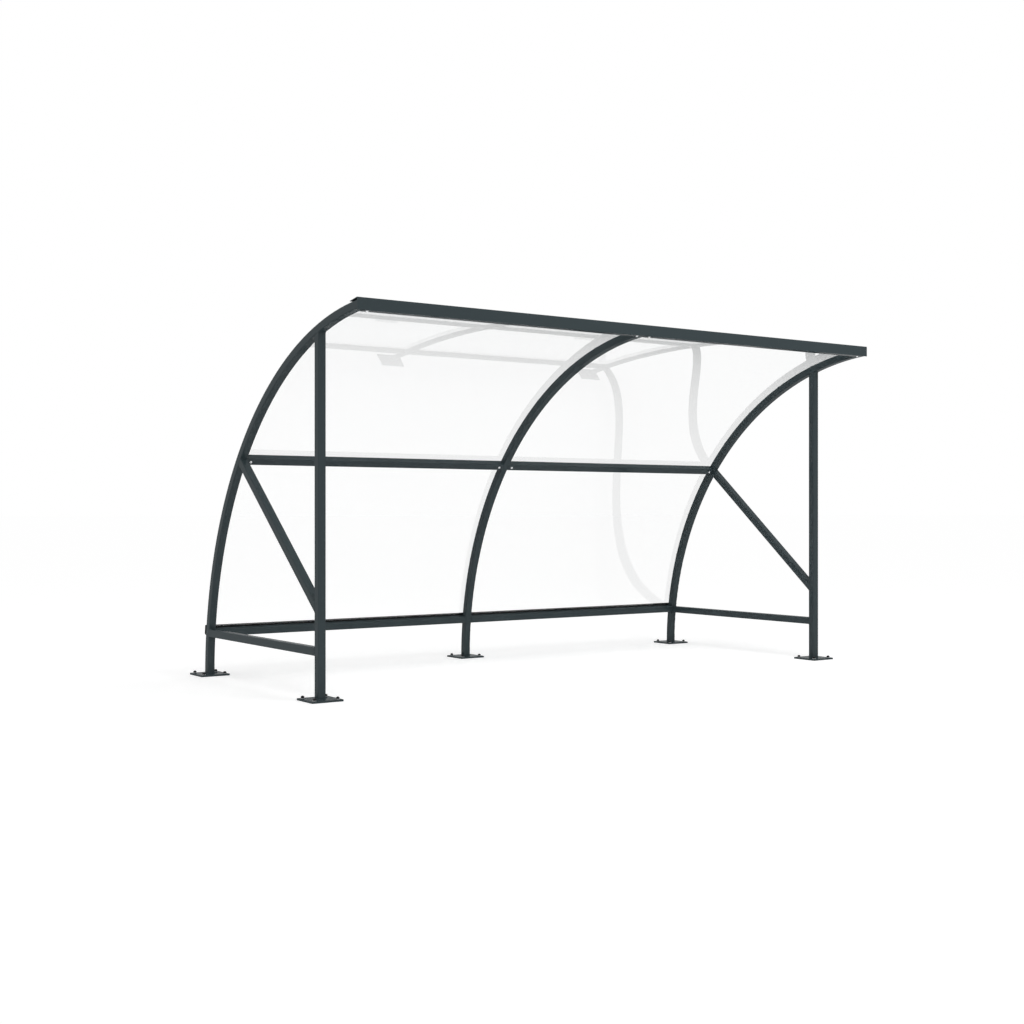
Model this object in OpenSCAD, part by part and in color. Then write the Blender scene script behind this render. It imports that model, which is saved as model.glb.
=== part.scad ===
// Open cycle shelter: box-section arches on base plates, front posts with radial braces,
// clear curved sheets on the arches and a folded fascia across the arch ends.
// Millimetres. +X runs along the shelter, -Y is its open front, +Z is up.
// The origin is on the ground under the middle of the whole shelter.

/* [Frame] */
// Distance from one arch to the next, between centre lines
bay_w = 2050; // [1600:10:2400]
// Distance from the front posts to the arch feet, between centre lines
frame_depth = 1600; // [1450:10:1750]
// Radius of the arches' centre line
arch_r = 2235; // [2100:5:2350]
// Distance from the front posts' centre line forward to the front of the fascia
roof_overhang = 490; // [420:5:540]

/* [Box section] */
// Outside width of the square tube
tube_w = 50; // [40:1:60]
// Wall of the square tube
tube_wall = 3; // [2:0.5:4]
// Outside corner radius of the square tube
tube_corner_r = 5; // [4.5:0.5:8]
// How far below the top of the base plates the arches' centre lies
foot_cut = 2; // [0:0.5:10]
// Gap that a weld fills where a tube end is shaped to an arch
weld_gap = 0.3; // [0.2:0.1:0.8]

/* [Rails and braces] */
// Angle of the mid rails and of the braces' upper ends, up from the arches' centre
mid_angle = 39.5; // [34:0.5:45]
// Height at which a brace's centre line meets the front post's centre line
brace_foot_z = 522; // [430:1:640]
// Height of the bottom rails' centre line above ground
bottom_rail_z = 288; // [200:1:340]
// Height of the end rails' centre line above ground
end_rail_z = 284; // [200:1:340]

/* [Base plates] */
// Side of the square base plate
plate_w = 200; // [170:5:260]
// Thickness of the base plate
plate_t = 12; // [6:1:20]
// Distance between bolt holes, between centres
bolt_pitch = 150; // [120:5:160]
// Diameter of a bolt hole
bolt_hole_d = 14; // [10:1:20]

/* [Clear sheets] */
// Thickness of a clear sheet
sheet_t = 5; // [3:0.5:8]
// Gap between the two sheets over the middle arch
sheet_joint = 5; // [3:1:10]
// Thickness of the soft tape between sheet and arch
sheet_tape = 0.5; // [0.3:0.1:0.9]
// Distance from the back of the fascia to a sheet's front edge
sheet_setback = 25; // [15:1:40]

/* [Sheet strip] */
// Height of the strip that holds the sheets' lower edge
strip_h = 66; // [56:1:90]
// Depth of that strip, out from the arches
strip_d = 18; // [15:1:28]
// Wall of that strip
strip_wall = 2.5; // [2:0.5:4]
// Outside corner radius of that strip
strip_corner_r = 11; // [8:0.5:12]
// How far the strip's middle lies above the bottom rail's centre line
strip_rise = 15; // [10:1:20]

/* [Fascia] */
// Height of the fascia's face
fascia_h = 70; // [67:1:110]
// Thickness of the folded fascia
fascia_t = 3; // [2:0.5:4]
// How far the fascia hangs below the arches' underside
fascia_drop = 4; // [3:0.5:10]
// Depth of the sloping top flange, front to back
flange_d = 86; // [75:1:110]
// Depth of the level bottom return, front to back
return_d = 65; // [55:1:80]

/* [Fascia cleats] */
// Level leg of an angle cleat
cleat_leg = 48; // [40:1:60]
// Upright leg of an angle cleat
cleat_h = 40; // [30:1:44]
// Thickness of an angle cleat
cleat_t = 4; // [3:0.5:5]
// Length of an angle cleat, front to back
cleat_len = 38; // [30:1:41]
// Diameter of the screw hole in a cleat and in the bottom return
screw_hole_d = 7; // [5:0.5:9]

/* [Hidden] */
$fn = 64;

frame_color = [0.24, 0.27, 0.29];
plate_color = [0.22, 0.25, 0.27];
strip_color = [0.11, 0.12, 0.13];
sheet_color = [0.86, 0.90, 0.92, 0.35];

// Small overlap that keeps cuts clean, and the run that a fixed fit leaves
eps = 1;
fit_gap = 0.3;

// Section of the tube
tube_half = tube_w / 2;
arch_inner_r = arch_r - tube_half;
arch_outer_r = arch_r + tube_half;

// Sheet radii
sheet_inner_r = arch_outer_r + sheet_tape;
sheet_outer_r = sheet_inner_r + sheet_t;

// Front and back, first measured from the front posts' centre line
fascia_front = -roof_overhang;
arch_centre = frame_depth - arch_r;
arc_z = plate_t - foot_cut;
strip_angle = asin((bottom_rail_z + strip_rise - arc_z) / arch_outer_r);
strip_corner_x = arch_outer_r + strip_d - strip_corner_r;
strip_corner_y = strip_h / 2 - strip_corner_r;
strip_reach = strip_corner_x * cos(strip_angle) + strip_corner_y * sin(strip_angle) + strip_corner_r;
strip_back = arch_centre + strip_reach;
plate_back = frame_depth + plate_w / 2;
back = max(strip_back, plate_back);

// Then moved so that the whole shelter is centred on the origin
shift_y = -(fascia_front + back) / 2;
post_y = shift_y;
foot_y = shift_y + frame_depth;
arc_y = shift_y + arch_centre;
face_y = shift_y + fascia_front;
fascia_back_y = face_y + fascia_t;

// Rails and braces
bottom_angle = asin((bottom_rail_z - arc_z) / arch_r);
rail_len = bay_w - tube_w;
brace_run = [arc_y + arch_r * cos(mid_angle) - post_y, arc_z + arch_r * sin(mid_angle) - brace_foot_z];
brace_slope = atan2(brace_run[1], brace_run[0]);

// Fascia heights follow the arches' underside behind its face
fascia_bottom_z = arc_z + rise_at(arch_inner_r, fascia_back_y) - fascia_drop;
fascia_top_z = fascia_bottom_z + fascia_h;
fascia_len = 2 * bay_w + tube_w;
return_top_z = fascia_bottom_z + fascia_t;

// The top flange slopes from the face's upper fold down to the sheets
flange_end_y = face_y + flange_d;
flange_end_z = arc_z + rise_at(sheet_outer_r + fit_gap, flange_end_y);
fold_y = face_y + fascia_t;
fold_z = fascia_top_z - fascia_t;
flange_slope = atan2(flange_end_z - fold_z, flange_end_y - fold_y);
flange_run = norm([flange_end_y - fold_y, flange_end_z - fold_z]);

// Sheets run from the strip's lower lip to just behind the fascia
sheet_low_angle = strip_angle - (strip_h / 2 - strip_wall - fit_gap) / arch_outer_r * 180 / PI;
sheet_top_angle = acos((fascia_back_y + sheet_setback - arc_y) / sheet_outer_r);
sheet_w = bay_w - sheet_joint;

// Arches end on the fascia's back
arch_sweep = acos((fascia_back_y - arc_y) / arch_outer_r) + eps;

// Cleats stand on the bottom return, beside the arches
cleat_front_y = fascia_back_y + fascia_t;
cleat_screw_x = (cleat_leg + cleat_t) / 2;
cleat_screw_y = cleat_front_y + cleat_len / 2;

// Height of a circle of radius r about the arches' centre, above that centre, at a given y
function rise_at(r, y) = sqrt(r * r - (y - arc_y) * (y - arc_y));

// Square with rounded corners, centred on the origin
module rounded_square(w, r) {
    square([w, w - 2 * r], center = true);
    square([w - 2 * r, w], center = true);
    for (x = [-1, 1], y = [-1, 1])
        translate([x * (w / 2 - r), y * (w / 2 - r)])
            circle(r = r);
}

// Wall of the square tube, as a flat section
module tube_section() {
    difference() {
        rounded_square(tube_w, tube_corner_r);
        rounded_square(tube_w - 2 * tube_wall, tube_corner_r - tube_wall);
    }
}

// Straight tube along X, centred on the origin
module tube_x(len) {
    rotate([90, 0, 90])
        linear_extrude(height = len, center = true)
            tube_section();
}

// Straight tube along +Y, starting at the origin
module tube_y(len) {
    rotate([-90, 0, 0])
        linear_extrude(height = len)
            tube_section();
}

// Turns a shape drawn about Z so that it stands in the plane of an arch at x
module in_arch_plane(x) {
    translate([x, arc_y, arc_z])
        rotate([90, 0, 90])
            children();
}

// Places a shape on a circle about the arches' centre, turned to that circle
module on_arc(x, angle, r) {
    translate([x, arc_y, arc_z])
        rotate([angle, 0, 0])
            translate([0, r, 0])
                children();
}

// Everything inside the arches' underside, near x
module inside_arch(x) {
    in_arch_plane(x)
        cylinder(r = arch_inner_r - weld_gap, h = 2 * tube_w, center = true, $fn = 180);
}

module arch(x) {
    difference() {
        in_arch_plane(x)
            rotate_extrude(angle = arch_sweep, $fn = 180)
                translate([arch_r, 0])
                    tube_section();
        translate([x - tube_w, fascia_back_y - arch_r, arc_z])
            cube([2 * tube_w, arch_r, arch_r + tube_w]);
        translate([x - tube_w, foot_y - tube_w, 0])
            cube([2 * tube_w, 2 * tube_w, plate_t]);
    }
}

module front_post(x) {
    intersection() {
        translate([x, post_y, plate_t])
            linear_extrude(height = arch_r)
                tube_section();
        inside_arch(x);
    }
}

module brace(x) {
    difference() {
        intersection() {
            translate([x, post_y, brace_foot_z])
                rotate([brace_slope, 0, 0])
                    tube_y(arch_r);
            inside_arch(x);
        }
        translate([x - tube_w, post_y - tube_w, 0])
            cube([2 * tube_w, tube_w + tube_half, arch_r]);
    }
}

module end_rail(x) {
    intersection() {
        translate([x, post_y + tube_half, end_rail_z])
            tube_y(frame_depth);
        inside_arch(x);
    }
}

module mid_rail(side) {
    on_arc(side * bay_w / 2, mid_angle, arch_r)
        tube_x(rail_len);
}

module bottom_rail(side) {
    on_arc(side * bay_w / 2, bottom_angle, arch_r)
        tube_x(rail_len);
}

// Pressed strip, open towards the arches: x is out from the arches, y is up along them
module strip_section() {
    sheet_room = sheet_tape + sheet_t + fit_gap;
    difference() {
        strip_outline(0);
        strip_outline(strip_wall);
        translate([-strip_d, 0])
            square([strip_d + sheet_room, strip_h]);
        translate([-strip_d, -strip_h])
            square([strip_d + fit_gap, 2 * strip_h]);
    }
}

// Outline of the strip, drawn in by a wall and rounded at its two outer corners
module strip_outline(inset) {
    r = strip_corner_r - inset;
    half = strip_h / 2 - inset;
    out = strip_d - inset;
    translate([-strip_d, -half + r])
        square([strip_d + out, 2 * (half - r)]);
    translate([-strip_d, -half])
        square([strip_d + out - r, 2 * half]);
    for (y = [-1, 1])
        translate([out - r, y * (half - r)])
            circle(r = r);
}

module sheet_strip(side) {
    strip_len = bay_w + tube_half;
    on_arc(side * strip_len / 2, strip_angle, arch_outer_r)
        rotate([90, 0, 90])
            linear_extrude(height = strip_len, center = true)
                strip_section();
}

module clear_sheet(side) {
    in_arch_plane(side * bay_w / 2)
        rotate([0, 0, sheet_low_angle])
            rotate_extrude(angle = sheet_top_angle - sheet_low_angle, $fn = 180)
                translate([sheet_inner_r, -sheet_w / 2])
                    square([sheet_t, sheet_w]);
}

// Folded section: x is back from the face, y is up
module fascia_section() {
    translate([0, fascia_bottom_z + fascia_t])
        square([fascia_t, fascia_h - 2 * fascia_t]);
    translate([fascia_t, fascia_bottom_z])
        square([return_d - fascia_t, fascia_t]);
    translate([fascia_t, fascia_bottom_z + fascia_t])
        fold_corner();
    translate([fascia_t, fold_z])
        fold_corner();
    translate([fascia_t, fold_z])
        rotate(flange_slope)
            square([flange_run, fascia_t]);
}

// Outside of a fold, rounded to the thickness
module fold_corner() {
    circle(r = fascia_t);
}

module front_fascia() {
    color(frame_color)
        difference() {
            translate([0, face_y, 0])
                rotate([90, 0, 90])
                    linear_extrude(height = fascia_len, center = true)
                        fascia_section();
            for (place = [[-bay_w, 1], [0, -1], [0, 1], [bay_w, -1]])
                cleat_screw_hole(place[0], place[1]);
            for (x = [-bay_w, 0, bay_w])
                return_notch(x);
        }
}

// Cut that lets an arch through the bottom return
module return_notch(x) {
    notch_w = tube_w + 2 * weld_gap;
    translate([x - notch_w / 2, fascia_back_y, fascia_bottom_z - eps])
        cube([notch_w, return_d, fascia_t + 2 * eps]);
}

// Screw hole up through the bottom return and a cleat
module cleat_screw_hole(arch_x, side) {
    translate([arch_x + side * (tube_half + cleat_screw_x), cleat_screw_y, fascia_bottom_z - eps])
        cylinder(d = screw_hole_d, h = fascia_t + cleat_t + 2 * eps, $fn = 32);
}

// Angle cleat on one side of an arch, standing on the fascia's bottom return
module fascia_cleat(arch_x, side) {
    low = side > 0 ? 0 : -cleat_leg;
    wall = side > 0 ? 0 : -cleat_t;
    difference() {
        translate([arch_x + side * tube_half, cleat_front_y, return_top_z]) {
            translate([low, 0, 0])
                cube([cleat_leg, cleat_len, cleat_t]);
            translate([wall, 0, 0])
                cube([cleat_t, cleat_len, cleat_h]);
        }
        cleat_screw_hole(arch_x, side);
    }
}

module base_plate(x, y) {
    difference() {
        translate([x - plate_w / 2, y - plate_w / 2, 0])
            cube([plate_w, plate_w, plate_t]);
        for (dx = [-1, 1], dy = [-1, 1])
            translate([x + dx * bolt_pitch / 2, y + dy * bolt_pitch / 2, -eps])
                cylinder(d = bolt_hole_d, h = plate_t + 2 * eps);
    }
}

module left_arch() { color(frame_color) arch(-bay_w); }
module middle_arch() { color(frame_color) arch(0); }
module right_arch() { color(frame_color) arch(bay_w); }
module left_front_post() { color(frame_color) front_post(-bay_w); }
module right_front_post() { color(frame_color) front_post(bay_w); }
module left_brace() { color(frame_color) brace(-bay_w); }
module right_brace() { color(frame_color) brace(bay_w); }
module left_end_rail() { color(frame_color) end_rail(-bay_w); }
module right_end_rail() { color(frame_color) end_rail(bay_w); }
module left_mid_rail() { color(frame_color) mid_rail(-1); }
module right_mid_rail() { color(frame_color) mid_rail(1); }
module left_bottom_rail() { color(frame_color) bottom_rail(-1); }
module right_bottom_rail() { color(frame_color) bottom_rail(1); }
module left_sheet_strip() { color(strip_color) sheet_strip(-1); }
module right_sheet_strip() { color(strip_color) sheet_strip(1); }
module left_clear_sheet() { color(sheet_color) clear_sheet(-1); }
module right_clear_sheet() { color(sheet_color) clear_sheet(1); }
module left_fascia_cleat() { color(frame_color) fascia_cleat(-bay_w, 1); }
module right_fascia_cleat() { color(frame_color) fascia_cleat(bay_w, -1); }
module middle_fascia_cleats() {
    color(frame_color) {
        fascia_cleat(0, -1);
        fascia_cleat(0, 1);
    }
}
module left_arch_base_plate() { color(plate_color) base_plate(-bay_w, foot_y); }
module middle_arch_base_plate() { color(plate_color) base_plate(0, foot_y); }
module right_arch_base_plate() { color(plate_color) base_plate(bay_w, foot_y); }
module left_post_base_plate() { color(plate_color) base_plate(-bay_w, post_y); }
module right_post_base_plate() { color(plate_color) base_plate(bay_w, post_y); }

left_arch();
middle_arch();
right_arch();
left_front_post();
right_front_post();
left_brace();
right_brace();
left_end_rail();
right_end_rail();
left_mid_rail();
right_mid_rail();
left_bottom_rail();
right_bottom_rail();
left_sheet_strip();
right_sheet_strip();
left_clear_sheet();
right_clear_sheet();
front_fascia();
left_fascia_cleat();
middle_fascia_cleats();
right_fascia_cleat();
left_arch_base_plate();
middle_arch_base_plate();
right_arch_base_plate();
left_post_base_plate();
right_post_base_plate();
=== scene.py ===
"""Bike shelter dressed for a studio: painted box-section frame, clear curved sheets, fixings and welds"""

import math

import bmesh
import bpy
from bpy.props import FloatProperty, FloatVectorProperty, IntProperty, PointerProperty
from mathutils import Matrix, Vector


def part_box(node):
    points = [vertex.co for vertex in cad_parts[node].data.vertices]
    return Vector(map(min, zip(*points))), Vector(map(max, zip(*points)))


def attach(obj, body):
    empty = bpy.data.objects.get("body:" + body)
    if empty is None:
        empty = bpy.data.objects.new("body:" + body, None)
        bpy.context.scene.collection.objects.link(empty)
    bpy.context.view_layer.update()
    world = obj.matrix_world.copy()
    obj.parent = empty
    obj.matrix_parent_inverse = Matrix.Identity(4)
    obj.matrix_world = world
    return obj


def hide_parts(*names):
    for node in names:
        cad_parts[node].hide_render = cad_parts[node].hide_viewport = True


bl_info = {
    "name": "Bike Shelter Dresser",
    "version": (1, 0, 0),
    "blender": (4, 5, 0),
    "location": "3D View > Sidebar > Shelter",
    "description": "Dresses the bike shelter with paint, clear sheets, fixings, welds and a pale studio",
    "category": "Object",
}

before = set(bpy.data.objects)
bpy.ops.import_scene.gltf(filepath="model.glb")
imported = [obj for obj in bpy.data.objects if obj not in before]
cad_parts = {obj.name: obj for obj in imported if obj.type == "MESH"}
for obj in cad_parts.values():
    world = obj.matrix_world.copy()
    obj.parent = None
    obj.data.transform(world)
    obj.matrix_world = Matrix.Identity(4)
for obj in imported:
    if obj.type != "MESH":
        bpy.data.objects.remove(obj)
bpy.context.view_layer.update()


def nodes_named(*endings):
    """Names of the frame's own pieces that have one of these endings"""
    return sorted(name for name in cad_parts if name.endswith(endings))


# Names in the frame
BODY = "root"
SIDES = ("left", "right")
PLATE_NAMES = nodes_named("_base_plate")

# Places in the frame, in metres
ARCH_LOW, ARCH_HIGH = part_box("middle_arch")
HALF_TUBE = (ARCH_HIGH.x - ARCH_LOW.x) / 2
PLATE_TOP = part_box("middle_arch_base_plate")[1].z
FOOT_Y = ARCH_HIGH.y - HALF_TUBE
POST_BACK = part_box("left_front_post")[1].y
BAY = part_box("right_front_post")[1].x - HALF_TUBE
SHEET_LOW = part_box("right_clear_sheet")[0]
STRIP_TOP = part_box("right_sheet_strip")[1].z
FASCIA_LOW, FASCIA_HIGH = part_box("front_fascia")
CLEAT_LOW, CLEAT_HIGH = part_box("right_fascia_cleat")

# Edges that turn by more than these angles stay crisp
CREASE = math.radians(32)
BEAD_CREASE = math.radians(75)

# How deep a weld bead's middle lies in a tube's face, and in a side that is flush with the next tube
BEAD_INSET = 0.0004
FLUSH_BEAD_INSET = 0.0018

# Points round each kind of turned piece
ANCHOR_POINTS = 48
SCREW_POINTS = 36
SHEET_SCREW_POINTS = 30

# Places of the Mix node's sockets, whose names repeat
MIX_FACTOR = 0
MIX_NUMBER_A = 2
MIX_NUMBER_B = 3
MIX_NUMBER_OUT = 0
MIX_COLOUR_A = 6
MIX_COLOUR_B = 7
MIX_COLOUR_OUT = 2


class ShelterSizes(bpy.types.PropertyGroup):
    """Sizes that a user would change"""

    arch_radius: FloatProperty(
        name="Arch radius", description="Radius of the arches' centre line",
        default=2.235, unit="LENGTH")
    foot_cut: FloatProperty(
        name="Foot cut", description="How far the arches' centre lies below the plates' top",
        default=0.002, unit="LENGTH")
    tube_corner: FloatProperty(
        name="Tube corner", description="Outside corner radius of the box section",
        default=0.005, unit="LENGTH")
    cleat_thickness: FloatProperty(
        name="Cleat thickness", description="Thickness of a fascia cleat",
        default=0.004, unit="LENGTH")
    sheet_thickness: FloatProperty(
        name="Sheet thickness", description="Thickness of a clear sheet",
        default=0.005, unit="LENGTH")
    sheet_tape: FloatProperty(
        name="Sheet tape", description="Tape between arches and sheets",
        default=0.0005, unit="LENGTH")
    strip_depth: FloatProperty(
        name="Strip depth", description="Depth of the strip under the sheets, out from the arches",
        default=0.018, unit="LENGTH")
    bolt_pitch: FloatProperty(
        name="Bolt pitch", description="Distance between anchor bolts",
        default=0.150, unit="LENGTH")
    nut_flats: FloatProperty(
        name="Nut width", description="Width across the flats of an anchor nut",
        default=0.019, unit="LENGTH")
    nut_height: FloatProperty(
        name="Nut height", description="Height of an anchor nut",
        default=0.010, unit="LENGTH")
    stud_d: FloatProperty(
        name="Stud", description="Diameter of an anchor stud",
        default=0.012, unit="LENGTH")
    stud_rise: FloatProperty(
        name="Stud rise", description="How far an anchor stud stands above its nut",
        default=0.003, unit="LENGTH")
    washer_d: FloatProperty(
        name="Washer", description="Diameter of an anchor washer",
        default=0.026, unit="LENGTH")
    washer_t: FloatProperty(
        name="Washer thickness", description="Thickness of an anchor washer",
        default=0.0025, unit="LENGTH")
    screw_d: FloatProperty(
        name="Screw head", description="Diameter of a bright screw head",
        default=0.014, unit="LENGTH")
    screw_inset: FloatProperty(
        name="Screw inset", description="From a mid rail's end to its screw",
        default=0.030, unit="LENGTH")
    sheet_screw_d: FloatProperty(
        name="Sheet screw", description="Diameter of a sheet screw's washer",
        default=0.016, unit="LENGTH")
    sheet_screw_inset: FloatProperty(
        name="Sheet screw inset", description="From a sheet's edge to its screws",
        default=0.0115, unit="LENGTH")
    sheet_screws: IntProperty(
        name="Sheet screws", description="Screws along each edge of a sheet on an arch",
        default=9)
    strip_screws: IntProperty(
        name="Strip screws", description="Screws along the strip under each sheet",
        default=6)
    weld_leg: FloatProperty(
        name="Weld", description="Leg of a weld bead",
        default=0.005, unit="LENGTH")
    weld_ripple: FloatProperty(
        name="Weld ripple", description="Distance between the ripples of a weld",
        default=0.003, unit="LENGTH")
    lens: FloatProperty(
        name="Lens", description="Focal length of the camera",
        default=50.0, unit="CAMERA")


class ShelterColours(bpy.types.PropertyGroup):
    """Colours that a user would change"""

    paint: FloatVectorProperty(
        name="Paint", description="Powder coat on the frame",
        subtype="COLOR", size=3, default=(0.036, 0.050, 0.055))
    strip: FloatVectorProperty(
        name="Strip", description="Black coat on the strips",
        subtype="COLOR", size=3, default=(0.010, 0.012, 0.013))
    sheet: FloatVectorProperty(
        name="Clear sheet", description="Tint of the clear sheets",
        subtype="COLOR", size=3, default=(0.990, 0.992, 0.992))
    sheet_grazing: FloatVectorProperty(
        name="Clear sheet, low view", description="Tint of the clear sheets when seen at a low angle",
        subtype="COLOR", size=3, default=(0.82, 0.83, 0.83))
    sheet_shade: FloatVectorProperty(
        name="Clear sheet, shade", description="Tint of the light that the clear sheets let through",
        subtype="COLOR", size=3, default=(0.92, 0.93, 0.93))
    dark_fixing: FloatVectorProperty(
        name="Dark fixing", description="Black coat on the anchor bolts and the strip screws",
        subtype="COLOR", size=3, default=(0.006, 0.006, 0.007))
    bright_fixing: FloatVectorProperty(
        name="Bright fixing", description="Zinc on the screws of the mid rails and the fascia",
        subtype="COLOR", size=3, default=(0.80, 0.81, 0.82))
    dull_fixing: FloatVectorProperty(
        name="Dull fixing", description="Dull zinc on the washers and the sheet screws",
        subtype="COLOR", size=3, default=(0.55, 0.56, 0.57))
    floor: FloatVectorProperty(
        name="Floor", description="Pale studio floor",
        subtype="COLOR", size=3, default=(0.85, 0.85, 0.85))


def sizes():
    """The sizes set on the scene"""
    return bpy.context.scene.shelter_sizes


def colours():
    """The colours set on the scene"""
    return bpy.context.scene.shelter_colours


def new_object(name, data):
    """A new object in the scene's collection"""
    made = bpy.data.objects.new(name, data)
    bpy.context.collection.objects.link(made)
    return made


# Node helpers

def link(tree, source, target):
    """Joins an output to an input"""
    tree.links.new(source, target)


def set_inputs(node, values):
    """Sets unlinked inputs by their names"""
    for name, value in values.items():
        node.inputs[name].default_value = value


def add_node(tree, kind, x, y, **values):
    """A node of one kind at a place, with its settings and unlinked inputs set by name"""
    node = tree.nodes.new(kind)
    node.location = (x, y)
    for name, value in values.items():
        if name in node.inputs:
            node.inputs[name].default_value = value
        else:
            setattr(node, name, value)
    return node


def empty_tree(owner, output_kind):
    """The emptied node tree of a material or a world, and its output"""
    owner.use_nodes = True
    tree = owner.node_tree
    tree.nodes.clear()
    return tree, add_node(tree, output_kind, 600, 0)


def show_either(tree, choose, first, second, output):
    """Shows the first shader where the choice is 0 and the second where it is 1"""
    either = add_node(tree, "ShaderNodeMixShader", 400, 0)
    link(tree, choose, either.inputs[0])
    link(tree, first.outputs[0], either.inputs[1])
    link(tree, second.outputs[0], either.inputs[2])
    link(tree, either.outputs[0], output.inputs["Surface"])


# Finishes

def powder_coat_group():
    """Mottle, gloss and orange peel of a powder coat, from places on the object"""
    name = "powder_coat"
    if name in bpy.data.node_groups:
        return bpy.data.node_groups[name]
    group = bpy.data.node_groups.new(name, "ShaderNodeTree")
    sockets = group.interface
    colour_in = sockets.new_socket("Colour", in_out="INPUT", socket_type="NodeSocketColor")
    colour_in.default_value = (0.03, 0.03, 0.03, 1.0)
    for label, value in (("Mottle", 0.1), ("Gloss low", 0.3), ("Gloss high", 0.42), ("Peel scale", 700.0)):
        socket = sockets.new_socket(label, in_out="INPUT", socket_type="NodeSocketFloat")
        socket.default_value = value
    sockets.new_socket("Colour", in_out="OUTPUT", socket_type="NodeSocketColor")
    sockets.new_socket("Roughness", in_out="OUTPUT", socket_type="NodeSocketFloat")
    sockets.new_socket("Height", in_out="OUTPUT", socket_type="NodeSocketFloat")
    inputs = add_node(group, "NodeGroupInput", -900, 0)
    outputs = add_node(group, "NodeGroupOutput", 700, 0)
    place = add_node(group, "ShaderNodeTexCoord", -900, -300)
    broad = add_node(group, "ShaderNodeTexNoise", -600, 250, Scale=3.5, Detail=4.0, Roughness=0.6)
    grain = add_node(group, "ShaderNodeTexNoise", -600, 0, Scale=260.0, Detail=2.0, Roughness=0.5)
    peel = add_node(group, "ShaderNodeTexNoise", -600, -300, Detail=1.5, Roughness=0.45)
    for texture in (broad, grain, peel):
        link(group, place.outputs["Object"], texture.inputs["Vector"])
    link(group, inputs.outputs["Peel scale"], peel.inputs["Scale"])
    blend = add_node(group, "ShaderNodeMix", -350, 200, data_type="FLOAT")
    blend.inputs[MIX_FACTOR].default_value = 0.45
    link(group, broad.outputs["Fac"], blend.inputs[MIX_NUMBER_A])
    link(group, grain.outputs["Fac"], blend.inputs[MIX_NUMBER_B])
    mottle = blend.outputs[MIX_NUMBER_OUT]
    # The mottle is centred on 0, and 1 plus its share scales the colour
    centred = add_node(group, "ShaderNodeMath", -150, 200, operation="SUBTRACT")
    centred.inputs[1].default_value = 0.5
    link(group, mottle, centred.inputs[0])
    swing = add_node(group, "ShaderNodeMath", 50, 200, operation="MULTIPLY_ADD")
    swing.inputs[2].default_value = 1.0
    link(group, centred.outputs[0], swing.inputs[0])
    link(group, inputs.outputs["Mottle"], swing.inputs[1])
    tone = add_node(group, "ShaderNodeVectorMath", 300, 200, operation="SCALE")
    link(group, inputs.outputs["Colour"], tone.inputs[0])
    link(group, swing.outputs[0], tone.inputs["Scale"])
    link(group, tone.outputs[0], outputs.inputs["Colour"])
    gloss = add_node(group, "ShaderNodeMapRange", 50, -50)
    set_inputs(gloss, {"From Min": 0.3, "From Max": 0.7})
    link(group, mottle, gloss.inputs["Value"])
    link(group, inputs.outputs["Gloss low"], gloss.inputs["To Min"])
    link(group, inputs.outputs["Gloss high"], gloss.inputs["To Max"])
    link(group, gloss.outputs[0], outputs.inputs["Roughness"])
    link(group, peel.outputs["Fac"], outputs.inputs["Height"])
    return group


def new_material(name):
    """A material with its node tree, its principled shader and its output"""
    material = bpy.data.materials.new(name)
    tree, output = empty_tree(material, "ShaderNodeOutputMaterial")
    shader = add_node(tree, "ShaderNodeBsdfPrincipled", 250, 0)
    link(tree, shader.outputs[0], output.inputs["Surface"])
    return material, tree, shader, output


def coated(name, colour, mottle, gloss, peel_scale, peel_depth, constants):
    """A mottled coat with uneven gloss and a fine peel; the constants go on the shader's own sockets"""
    if name in bpy.data.materials:
        return bpy.data.materials[name]
    material, tree, shader, _ = new_material(name)
    set_inputs(shader, constants)
    coat = add_node(tree, "ShaderNodeGroup", -350, 0, node_tree=powder_coat_group())
    gloss_low, gloss_high = gloss
    set_inputs(coat, {
        "Colour": (*colour, 1.0),
        "Mottle": mottle,
        "Gloss low": gloss_low,
        "Gloss high": gloss_high,
        "Peel scale": peel_scale,
    })
    bump = add_node(tree, "ShaderNodeBump", -50, -250, Strength=0.5, Distance=peel_depth)
    link(tree, coat.outputs["Colour"], shader.inputs["Base Color"])
    link(tree, coat.outputs["Roughness"], shader.inputs["Roughness"])
    link(tree, coat.outputs["Height"], bump.inputs["Height"])
    link(tree, bump.outputs[0], shader.inputs["Normal"])
    return material


def painted(name, mottle, gloss, peel_scale, peel_depth, coat_roughness):
    """The frame's powder coat: a dark satin base under a thin gloss"""
    constants = {"Specular IOR Level": 0.0, "Coat Weight": 0.28, "Coat Roughness": coat_roughness}
    return coated(name, colours().paint, mottle, gloss, peel_scale, peel_depth, constants)


def tube_coat():
    """Powder coat on the box section"""
    return painted("tube_coat", mottle=0.16, gloss=(0.50, 0.62),
                   peel_scale=700.0, peel_depth=0.00012, coat_roughness=0.12)


def trim_coat():
    """Powder coat on folded sheet"""
    return painted("trim_coat", mottle=0.14, gloss=(0.50, 0.62),
                   peel_scale=600.0, peel_depth=0.0001, coat_roughness=0.10)


def plate_coat():
    """Powder coat on thick plate"""
    return painted("plate_coat", mottle=0.25, gloss=(0.50, 0.66),
                   peel_scale=500.0, peel_depth=0.0002, coat_roughness=0.16)


def strip_coat():
    """Black satin coat on the strips"""
    constants = {"Specular IOR Level": 0.0, "Coat Weight": 0.15, "Coat Roughness": 0.2}
    return coated("strip_coat", colours().strip, mottle=0.3, gloss=(0.45, 0.6),
                  peel_scale=800.0, peel_depth=0.0001, constants=constants)


def dark_coat():
    """Black oxide on the anchor nuts and the strip screws"""
    return coated("dark_coat", colours().dark_fixing, mottle=0.5, gloss=(0.35, 0.5),
                  peel_scale=900.0, peel_depth=0.00008, constants={"Specular IOR Level": 0.2})


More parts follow.
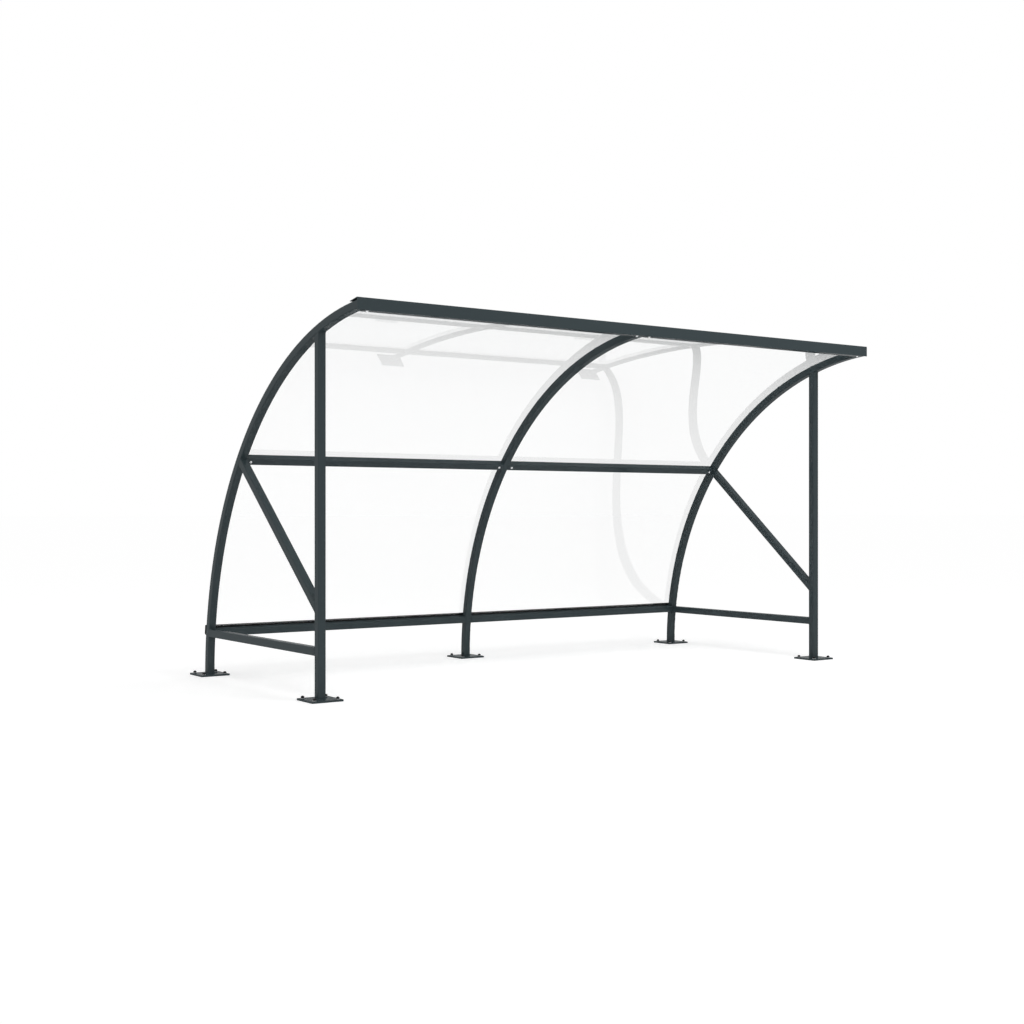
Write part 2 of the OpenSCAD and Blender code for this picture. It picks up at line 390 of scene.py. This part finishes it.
def bright_zinc():
    """Bright zinc on the screws of the mid rails and the fascia"""
    return coated("bright_zinc", colours().bright_fixing, mottle=0.2, gloss=(0.22, 0.36),
                  peel_scale=1200.0, peel_depth=0.00005, constants={"Metallic": 1.0})


def dull_zinc():
    """Dull zinc on the washers and the sheet screws"""
    return coated("dull_zinc", colours().dull_fixing, mottle=0.4, gloss=(0.40, 0.55),
                  peel_scale=1000.0, peel_depth=0.00008, constants={"Metallic": 1.0})


def clear_plastic():
    """Clear gloss sheet with a slight roll in its surface, which lets lamps through"""
    name = "clear_plastic"
    if name in bpy.data.materials:
        return bpy.data.materials[name]
    material, tree, shader, output = new_material(name)
    set_inputs(shader, {"Roughness": 0.0, "IOR": 1.55, "Transmission Weight": 1.0})
    place = add_node(tree, "ShaderNodeTexCoord", -700, -200)
    roll = add_node(tree, "ShaderNodeTexNoise", -450, -200, Scale=2.2, Detail=1.0, Roughness=0.4)
    bump = add_node(tree, "ShaderNodeBump", -150, -250, Strength=0.04, Distance=0.002)
    link(tree, place.outputs["Object"], roll.inputs["Vector"])
    link(tree, roll.outputs["Fac"], bump.inputs["Height"])
    link(tree, bump.outputs[0], shader.inputs["Normal"])
    low_view = add_node(tree, "ShaderNodeLayerWeight", -450, 200, Blend=0.25)
    tint = add_node(tree, "ShaderNodeMix", -150, 150, data_type="RGBA")
    tint.inputs[MIX_COLOUR_A].default_value = (*colours().sheet, 1.0)
    tint.inputs[MIX_COLOUR_B].default_value = (*colours().sheet_grazing, 1.0)
    link(tree, low_view.outputs["Facing"], tint.inputs[MIX_FACTOR])
    link(tree, tint.outputs[MIX_COLOUR_OUT], shader.inputs["Base Color"])
    path = add_node(tree, "ShaderNodeLightPath", 0, 350)
    passing = add_node(tree, "ShaderNodeBsdfTransparent", 250, 200, Color=(*colours().sheet_shade, 1.0))
    show_either(tree, path.outputs["Is Shadow Ray"], shader, passing, output)
    return material


def paint_nodes(names, material):
    """Gives the frame's own pieces one material, with smooth rounds and crisp edges"""
    for name in names:
        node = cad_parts[name]
        for slot in node.material_slots:
            slot.material = material
        node.data.shade_smooth()
        node.data.set_sharp_from_angle(angle=CREASE)


# Mesh helpers

def new_piece(name, bm, material, crease=CREASE):
    """A new piece from a finished bmesh, riding on the shelter, with edges over the crease left sharp"""
    bmesh.ops.recalc_face_normals(bm, faces=bm.faces)
    mesh = bpy.data.meshes.new(name)
    bm.to_mesh(mesh)
    bm.free()
    mesh.materials.append(material)
    mesh.shade_smooth()
    mesh.set_sharp_from_angle(angle=crease)
    piece = new_object(name, mesh)
    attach(piece, BODY)
    return piece


def bridge(bm, low, high):
    """Faces between two rings of as many points"""
    count = len(low)
    for i in range(count):
        j = (i + 1) % count
        bm.faces.new((low[i], low[j], high[j], high[i]))


def closed(bm, rows):
    """A closed solid through rows of points, with a face over each end"""
    for low, high in zip(rows, rows[1:]):
        bridge(bm, low, high)
    bm.faces.new(list(reversed(rows[0])))
    bm.faces.new(rows[-1])


def turned(bm, rings, place, points):
    """A turned solid along its own Z: each ring gives radius and height, as numbers or by the angle"""
    rows = []
    for radius, height in rings:
        row = []
        for i in range(points):
            angle = 2 * math.pi * i / points
            r = radius(angle) if callable(radius) else radius
            z = height(angle) if callable(height) else height
            row.append(bm.verts.new(place @ Vector((r * math.cos(angle), r * math.sin(angle), z))))
        rows.append(row)
    closed(bm, rows)


# Fixings

def hexagon(flats):
    """Radius of a hexagon of that width across flats, by angle"""
    half = flats / 2

    def radius(angle):
        return half / math.cos((angle + math.pi / 6) % (math.pi / 3) - math.pi / 6)
    return radius


def washer_rings(diameter, thickness):
    """Flat washer with slightly bevelled rims"""
    edge = 0.0004
    return [
        (diameter / 2 - edge, 0.0),
        (diameter / 2, edge),
        (diameter / 2, thickness - edge),
        (diameter / 2 - edge, thickness),
    ]


def nut_rings():
    """Chamfered nut and the low rounded end of its stud, from the washer up"""
    s = sizes()
    nut = hexagon(s.nut_flats)
    crown = s.nut_flats / 2 * 0.97
    slope = math.tan(math.radians(30))
    low = s.washer_t
    top = low + s.nut_height
    stud = s.stud_d / 2
    stud_top = top + s.stud_rise
    chamfer = 0.0012
    shoulder = chamfer * 0.4
    return [
        (crown, low),
        (nut, lambda angle: low + (nut(angle) - crown) * slope),
        (nut, lambda angle: top - (nut(angle) - crown) * slope),
        (crown, top),
        (stud, top),
        (stud, stud_top - chamfer),
        (stud - shoulder, stud_top - shoulder),
        (stud - chamfer, stud_top),
    ]


def button_rings(head_d, head_h, washer_d, washer_t):
    """Washer and domed head with a hexagon socket"""
    socket = hexagon(head_d * 0.36)
    socket_depth = head_h * 0.55
    rim = head_d * 0.26
    collar = head_h * 0.15
    top = washer_t + head_h
    dome_steps = 5
    rings = washer_rings(washer_d, washer_t)
    rings.append((head_d / 2, washer_t))
    for i in range(1, dome_steps + 1):
        turn = math.pi / 2 * i / dome_steps
        r = rim + (head_d / 2 - rim) * math.cos(turn)
        rings.append((r, washer_t + collar + (head_h - collar) * math.sin(turn)))
    rings.append((socket, top))
    rings.append((socket, top - socket_depth))
    return rings


def screw_rings():
    """A screw of the mid rails and the fascia"""
    head_d = sizes().screw_d
    return button_rings(head_d, head_h=head_d * 0.36, washer_d=head_d * 1.25, washer_t=0.0015)


def sheet_screw_rings():
    """A low screw of the sheets and the strips"""
    washer_d = sizes().sheet_screw_d
    return button_rings(washer_d * 0.7, head_h=washer_d * 0.15, washer_d=washer_d, washer_t=0.001)


# Places on the arches

def arc_centre():
    """Centre of the arches in the Y and Z plane"""
    return FOOT_Y - sizes().arch_radius, PLATE_TOP - sizes().foot_cut


def arc_point(x, angle, radius):
    """A point on a circle about the arches' centre"""
    y, z = arc_centre()
    return Vector((x, y + radius * math.cos(angle), z + radius * math.sin(angle)))


def arc_out(angle):
    """Direction out from the arches' centre"""
    return Vector((0.0, math.cos(angle), math.sin(angle)))


def placed(point, out):
    """A place whose own Z points out"""
    return Matrix.Translation(point) @ out.to_track_quat("Z", "Y").to_matrix().to_4x4()


def middle_angle(low, high):
    """Angle of a box's middle about the arches' centre"""
    y, z = arc_centre()
    return math.atan2((low.z + high.z) / 2 - z, (low.y + high.y) / 2 - y)


def screw_out(bm, x, angle, radius):
    """A sheet screw that points out from the arches' centre"""
    turned(bm, sheet_screw_rings(), placed(arc_point(x, angle, radius), arc_out(angle)), SHEET_SCREW_POINTS)


# Welds

def straight_tube(name):
    """A point on a straight tube's axis, its direction towards the arch and the direction across it"""
    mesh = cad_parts[name].data
    tolerance = 0.01
    lengthwise = (face for face in mesh.polygons if abs(face.normal.x) < tolerance)
    flat = max(lengthwise, key=lambda face: face.area)
    across = Vector((0.0, flat.normal.y, flat.normal.z)).normalized()
    spans = [vertex.co.dot(across) for vertex in mesh.vertices]
    low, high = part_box(name)
    point = Vector(((low.x + high.x) / 2, 0.0, 0.0)) + across * (min(spans) + max(spans)) / 2
    along = Vector((0.0, -across.z, across.y))
    if along.y + along.z < 0:
        along.negate()
    return point, along, across


def section_outline(half_x, half_y, corner, step):
    """Points round a box section, about a step apart"""
    bends = max(2, round(corner * math.pi / 2 / step))
    corners = []
    for turn, (x, y) in enumerate(((1, 1), (-1, 1), (-1, -1), (1, -1))):
        for i in range(bends + 1):
            angle = math.pi / 2 * (turn + i / bends)
            corners.append(Vector((x * (half_x - corner) + corner * math.cos(angle),
                                   y * (half_y - corner) + corner * math.sin(angle))))
    outline = []
    for start, end in zip(corners, corners[1:] + corners[:1]):
        count = max(1, round((end - start).length / step))
        outline += [start.lerp(end, i / count) for i in range(count)]
    return outline


def meets_post(point, along):
    """Where a line meets the posts' back"""
    return point + along * ((POST_BACK - point.y) / along.y)


def meets_arch(point, along):
    """Where a line that leaves the shelter meets the arches' underside"""
    y, z = arc_centre()
    radius = sizes().arch_radius - HALF_TUBE
    away = Vector((0.0, point.y - y, point.z - z))
    half_b = away.dot(along)
    return point + along * (-half_b + math.sqrt(half_b ** 2 - away.length_squared + radius ** 2))


def bead(bm, path, up):
    """A rippled weld bead along a closed path"""
    leg = sizes().weld_leg
    mean_radius = leg * 0.60
    ripple_swing = leg * 0.05
    slow_swing = leg * 0.03
    slow_waves = 7
    sides = 10
    count = len(path)
    length = sum((path[i] - path[i - 1]).length for i in range(count))
    ripples = round(length / sizes().weld_ripple)
    travelled = 0.0
    rings = []
    for i, point in enumerate(path):
        ahead = path[(i + 1) % count]
        tangent = (ahead - path[i - 1]).normalized()
        side = tangent.cross(up).normalized()
        rise = side.cross(tangent)
        phase = 2 * math.pi * travelled / length
        swing = ripple_swing * math.sin(ripples * phase) + slow_swing * math.sin(slow_waves * phase)
        ring = []
        for k in range(sides):
            angle = 2 * math.pi * k / sides
            out = side * math.cos(angle) + rise * math.sin(angle)
            ring.append(bm.verts.new(point + out * (mean_radius + swing)))
        rings.append(ring)
        travelled += (ahead - point).length
    for low, high in zip(rings, rings[1:] + rings[:1]):
        bridge(bm, low, high)


class SHELTER_OT_frame(bpy.types.Operator):
    """Paints the tubes, the fascia, the strips and the base plates"""

    bl_idname = "shelter.frame"
    bl_label = "Paint Frame"

    def execute(self, context):
        paint_nodes(nodes_named("_arch", "_post", "_brace", "_rail"), tube_coat())
        paint_nodes(nodes_named("_fascia", "_cleat", "_cleats"), trim_coat())
        paint_nodes(nodes_named("_strip"), strip_coat())
        paint_nodes(PLATE_NAMES, plate_coat())
        return {"FINISHED"}


class SHELTER_OT_clear_sheets(bpy.types.Operator):
    """Makes the two clear curved sheets with polished edges"""

    bl_idname = "shelter.clear_sheets"
    bl_label = "Clear Sheets"

    def execute(self, context):
        s = sizes()
        inner = s.arch_radius + HALF_TUBE + s.sheet_tape
        y, z = arc_centre()
        low_angle = math.asin((SHEET_LOW.z - z) / inner)
        high_angle = math.acos((SHEET_LOW.y - y) / (inner + s.sheet_thickness))
        for side in SIDES:
            node = f"{side}_clear_sheet"
            low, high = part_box(node)
            bm = bmesh.new()
            self.sheet(bm, low.x, high.x, inner, low_angle, high_angle)
            piece = new_piece(f"{side}_sheet", bm, clear_plastic())
            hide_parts(node)
        return {"FINISHED"}

    @staticmethod
    def sheet(bm, left, right, inner, low_angle, high_angle):
        """A curved slab with small bevels along its edges"""
        steps = 160
        edge = 0.0008
        thickness = sizes().sheet_thickness
        section = [
            (left, edge),
            (left + edge, 0.0),
            (right - edge, 0.0),
            (right, edge),
            (right, thickness - edge),
            (right - edge, thickness),
            (left + edge, thickness),
            (left, thickness - edge),
        ]
        rows = []
        for i in range(steps + 1):
            angle = low_angle + (high_angle - low_angle) * i / steps
            rows.append([bm.verts.new(arc_point(x, angle, inner + rise)) for x, rise in section])
        closed(bm, rows)


class SHELTER_OT_anchor_bolts(bpy.types.Operator):
    """Puts four dark anchor nuts with washers on each base plate"""

    bl_idname = "shelter.anchor_bolts"
    bl_label = "Anchor Bolts"

    def execute(self, context):
        s = sizes()
        corners = ((-1, -1), (1, -1), (1, 1), (-1, 1))
        # How far each nut is turned from the one before, and from plate to plate, in degrees
        turn_per_bolt = 17
        turn_per_plate = 23
        washers = bmesh.new()
        for plate, name in enumerate(PLATE_NAMES):
            low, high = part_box(name)
            middle = (low + high) / 2
            bm = bmesh.new()
            for bolt, (dx, dy) in enumerate(corners):
                point = Vector((middle.x + dx * s.bolt_pitch / 2, middle.y + dy * s.bolt_pitch / 2, high.z))
                turn = math.radians(turn_per_bolt * bolt + turn_per_plate * plate)
                place = Matrix.Translation(point) @ Matrix.Rotation(turn, 4, "Z")
                turned(bm, nut_rings(), place, ANCHOR_POINTS)
                turned(washers, washer_rings(s.washer_d, s.washer_t), place, ANCHOR_POINTS)
            new_piece(name.replace("_base_plate", "_anchor_bolts"), bm, dark_coat())
        new_piece("anchor_washers", washers, dull_zinc())
        return {"FINISHED"}


class SHELTER_OT_rail_screws(bpy.types.Operator):
    """Puts a bright screw near each end of the mid rails"""

    bl_idname = "shelter.rail_screws"
    bl_label = "Rail Screws"

    def execute(self, context):
        s = sizes()
        for side in SIDES:
            low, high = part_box(f"{side}_mid_rail")
            angle = middle_angle(low, high)
            bm = bmesh.new()
            for x in (low.x + s.screw_inset, high.x - s.screw_inset):
                place = placed(arc_point(x, angle, s.arch_radius - HALF_TUBE), -arc_out(angle))
                turned(bm, screw_rings(), place, SCREW_POINTS)
            new_piece(f"{side}_mid_rail_screws", bm, bright_zinc())
        return {"FINISHED"}


class SHELTER_OT_fascia_screws(bpy.types.Operator):
    """Puts a bright screw under each fascia cleat"""

    bl_idname = "shelter.fascia_screws"
    bl_label = "Fascia Screws"

    def execute(self, context):
        inset = BAY - (CLEAT_LOW.x + CLEAT_HIGH.x - sizes().cleat_thickness) / 2
        y = (CLEAT_LOW.y + CLEAT_HIGH.y) / 2
        down = Vector((0, 0, -1))
        bm = bmesh.new()
        for arch_x, sign in ((-BAY, 1), (0, -1), (0, 1), (BAY, -1)):
            point = Vector((arch_x + sign * inset, y, FASCIA_LOW.z))
            turned(bm, screw_rings(), placed(point, down), SCREW_POINTS)
        new_piece("fascia_screws", bm, bright_zinc())
        return {"FINISHED"}


class SHELTER_OT_sheet_screws(bpy.types.Operator):
    """Puts rows of screws through the sheets into the arches and mid rails, and through the strips"""

    bl_idname = "shelter.sheet_screws"
    bl_label = "Sheet Screws"

    def execute(self, context):
        for side in SIDES:
            self.sheet_rows(side)
            self.strip_row(side)
        return {"FINISHED"}

    @staticmethod
    def sheet_rows(side):
        """Dull screws along both edges of one sheet and into the ends of its mid rail"""
        s = sizes()
        outer = s.arch_radius + HALF_TUBE + s.sheet_tape + s.sheet_thickness
        y, z = arc_centre()
        end_room = 0.06
        first = math.asin((STRIP_TOP + end_room - z) / outer)
        last = math.acos((FASCIA_HIGH.y + end_room - y) / outer)
        low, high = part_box(f"{side}_clear_sheet")
        bm = bmesh.new()
        for x in (low.x + s.sheet_screw_inset, high.x - s.sheet_screw_inset):
            for i in range(s.sheet_screws):
                screw_out(bm, x, first + (last - first) * i / (s.sheet_screws - 1), outer)
        rail_low, rail_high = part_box(f"{side}_mid_rail")
        for x in (rail_low.x + s.screw_inset, rail_high.x - s.screw_inset):
            screw_out(bm, x, middle_angle(rail_low, rail_high), outer)
        new_piece(f"{side}_sheet_screws", bm, dull_zinc())

    @staticmethod
    def strip_row(side):
        """Dark screws along the outer face of one strip"""
        s = sizes()
        low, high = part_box(f"{side}_sheet_strip")
        outer = s.arch_radius + HALF_TUBE + s.strip_depth
        pitch = (high.x - low.x) / s.strip_screws
        bm = bmesh.new()
        for i in range(s.strip_screws):
            screw_out(bm, low.x + pitch * (i + 0.5), middle_angle(low, high), outer)
        new_piece(f"{side}_strip_screws", bm, dark_coat())


class SHELTER_OT_welds(bpy.types.Operator):
    """Runs weld beads round the feet and round the ends of posts, braces and end rails"""

    bl_idname = "shelter.welds"
    bl_label = "Welds"

    def execute(self, context):
        feet = bmesh.new()
        for arch_x in (-BAY, 0.0, BAY):
            self.foot(feet, arch_x, FOOT_Y)
        for side in SIDES:
            post, _, _ = straight_tube(f"{side}_front_post")
            self.foot(feet, post.x, post.y)
            bm = bmesh.new()
            self.tube_end(bm, f"{side}_front_post", meets_arch)
            for name in (f"{side}_end_rail", f"{side}_brace"):
                self.tube_end(bm, name, meets_arch)
                self.tube_end(bm, name, meets_post)
            new_piece(f"{side}_end_welds", bm, tube_coat(), BEAD_CREASE)
        new_piece("foot_welds", feet, tube_coat(), BEAD_CREASE)
        return {"FINISHED"}

    @staticmethod
    def outline(side_inset):
        """Path of a bead's middle round a tube, a little inside its sides and its other faces"""
        s = sizes()
        step = s.weld_ripple / 4
        return section_outline(HALF_TUBE - side_inset, HALF_TUBE - BEAD_INSET, s.tube_corner, step)

    def foot(self, bm, x, y):
        """A bead round an upright tube on its plate"""
        path = [Vector((x + p.x, y + p.y, PLATE_TOP)) for p in self.outline(BEAD_INSET)]
        bead(bm, path, Vector((0, 0, 1)))

    def tube_end(self, bm, name, meets):
        """A bead where a straight tube meets a post or an arch, deeper on the sides, which are flush"""
        point, along, across = straight_tube(name)
        starts = [point + Vector((p.x, 0, 0)) + across * p.y for p in self.outline(FLUSH_BEAD_INSET)]
        bead(bm, [meets(start, along) for start in starts], along)


class SHELTER_OT_stage(bpy.types.Operator):
    """Makes the floor, the light and the camera"""

    bl_idname = "shelter.stage"
    bl_label = "Stage"

    def execute(self, context):
        self.floor()
        self.world()
        self.sun()
        self.front_lamp()
        self.camera()
        context.scene.view_settings.view_transform = "Standard"
        return {"FINISHED"}

    @staticmethod
    def seen(tree, x, y):
        """1 for rays that show the stage: from the camera, in gloss or through glass"""
        path = add_node(tree, "ShaderNodeLightPath", x, y)
        first = add_node(tree, "ShaderNodeMath", x + 200, y, operation="MAXIMUM")
        second = add_node(tree, "ShaderNodeMath", x + 400, y, operation="MAXIMUM")
        link(tree, path.outputs["Is Camera Ray"], first.inputs[0])
        link(tree, path.outputs["Is Glossy Ray"], first.inputs[1])
        link(tree, first.outputs[0], second.inputs[0])
        link(tree, path.outputs["Is Transmission Ray"], second.inputs[1])
        return second.outputs[0]

    def floor(self):
        """A wide flat floor"""
        reach = 400.0
        corners = ((-reach, -reach), (reach, -reach), (reach, reach), (-reach, reach))
        bm = bmesh.new()
        bm.faces.new([bm.verts.new((x, y, 0.0)) for x, y in corners])
        mesh = bpy.data.meshes.new("floor")
        bm.to_mesh(mesh)
        bm.free()
        mesh.materials.append(self.floor_finish())
        floor = new_object("floor", mesh)

    def floor_finish(self):
        """Matt and pale, with a glow where it shows, so that it is white and keeps a faint shadow"""
        material = bpy.data.materials.new("floor")
        tree, output = empty_tree(material, "ShaderNodeOutputMaterial")
        matt = add_node(tree, "ShaderNodeBsdfDiffuse", 0, 0, Color=(*colours().floor, 1.0))
        glow = add_node(tree, "ShaderNodeEmission", 0, -200, Strength=0.335)
        both = add_node(tree, "ShaderNodeAddShader", 200, -100)
        link(tree, matt.outputs[0], both.inputs[0])
        link(tree, glow.outputs[0], both.inputs[1])
        show_either(tree, self.seen(tree, -600, 300), matt, both, output)
        return material

    def world(self):
        """White where it shows, and a plain soft light elsewhere"""
        world = bpy.data.worlds.new("studio")
        bpy.context.scene.world = world
        tree, output = empty_tree(world, "ShaderNodeOutputWorld")
        colour = (1.0, 1.0, 1.0, 1.0)
        soft = add_node(tree, "ShaderNodeBackground", 0, 0, Color=colour, Strength=0.6)
        white = add_node(tree, "ShaderNodeBackground", 0, -200, Color=colour, Strength=1.0)
        show_either(tree, self.seen(tree, -600, 300), soft, white, output)

    @staticmethod
    def sun():
        """One wide soft lamp from above, in front and to the left"""
        lamp = bpy.data.lights.new("soft_sun", "SUN")
        lamp.energy = 0.7
        lamp.angle = math.radians(60)
        sun = new_object("soft_sun", lamp)
        sun.rotation_euler = (math.radians(38), 0.0, math.radians(-40))

    @staticmethod
    def front_lamp():
        """A weak wide lamp high in front, which shows in no reflection"""
        lamp = bpy.data.lights.new("front_lamp", "AREA")
        lamp.energy = 72.0
        lamp.size = 2.5
        place = Vector((0.9, -4.4, 4.8))
        target = Vector((0.5, -0.8, 1.8))
        light = new_object("front_lamp", lamp)
        light.location = place
        light.rotation_euler = (target - place).to_track_quat("-Z", "Y").to_euler()
        light.visible_camera = False
        light.visible_glossy = False
        light.visible_transmission = False

    @staticmethod
    def camera():
        """A level camera about a metre up, in front and to the left"""
        camera = new_object("camera", bpy.data.cameras.new("camera"))
        camera.data.lens = sizes().lens
        camera.data.sensor_width = 36.0
        camera.location = (-5.868, -7.997, 1.0945)
        camera.rotation_euler = (math.radians(90), 0.0, math.radians(-35))
        bpy.context.scene.camera = camera


OPERATORS = (
    SHELTER_OT_frame,
    SHELTER_OT_clear_sheets,
    SHELTER_OT_anchor_bolts,
    SHELTER_OT_rail_screws,
    SHELTER_OT_fascia_screws,
    SHELTER_OT_sheet_screws,
    SHELTER_OT_welds,
    SHELTER_OT_stage,
)


class SHELTER_PT_panel(bpy.types.Panel):
    """Lists the shelter's sizes, colours and pieces"""

    bl_label = "Bike Shelter"
    bl_idname = "SHELTER_PT_panel"
    bl_space_type = "VIEW_3D"
    bl_region_type = "UI"
    bl_category = "Shelter"

    def draw(self, context):
        column = self.layout.column()
        for group in (context.scene.shelter_sizes, context.scene.shelter_colours):
            for name in group.__annotations__:
                column.prop(group, name)
        for operator in OPERATORS:
            column.operator(operator.bl_idname)


CLASSES = (ShelterSizes, ShelterColours, *OPERATORS, SHELTER_PT_panel)


def register():
    for cls in CLASSES:
        bpy.utils.register_class(cls)
    bpy.types.Scene.shelter_sizes = PointerProperty(type=ShelterSizes)
    bpy.types.Scene.shelter_colours = PointerProperty(type=ShelterColours)


def unregister():
    del bpy.types.Scene.shelter_colours
    del bpy.types.Scene.shelter_sizes
    for cls in reversed(CLASSES):
        bpy.utils.unregister_class(cls)


def main():
    register()
    bpy.ops.shelter.frame()
    bpy.ops.shelter.clear_sheets()
    bpy.ops.shelter.anchor_bolts()
    bpy.ops.shelter.rail_screws()
    bpy.ops.shelter.fascia_screws()
    bpy.ops.shelter.sheet_screws()
    bpy.ops.shelter.welds()
    bpy.ops.shelter.stage()


if __name__ == "__main__":
    main()
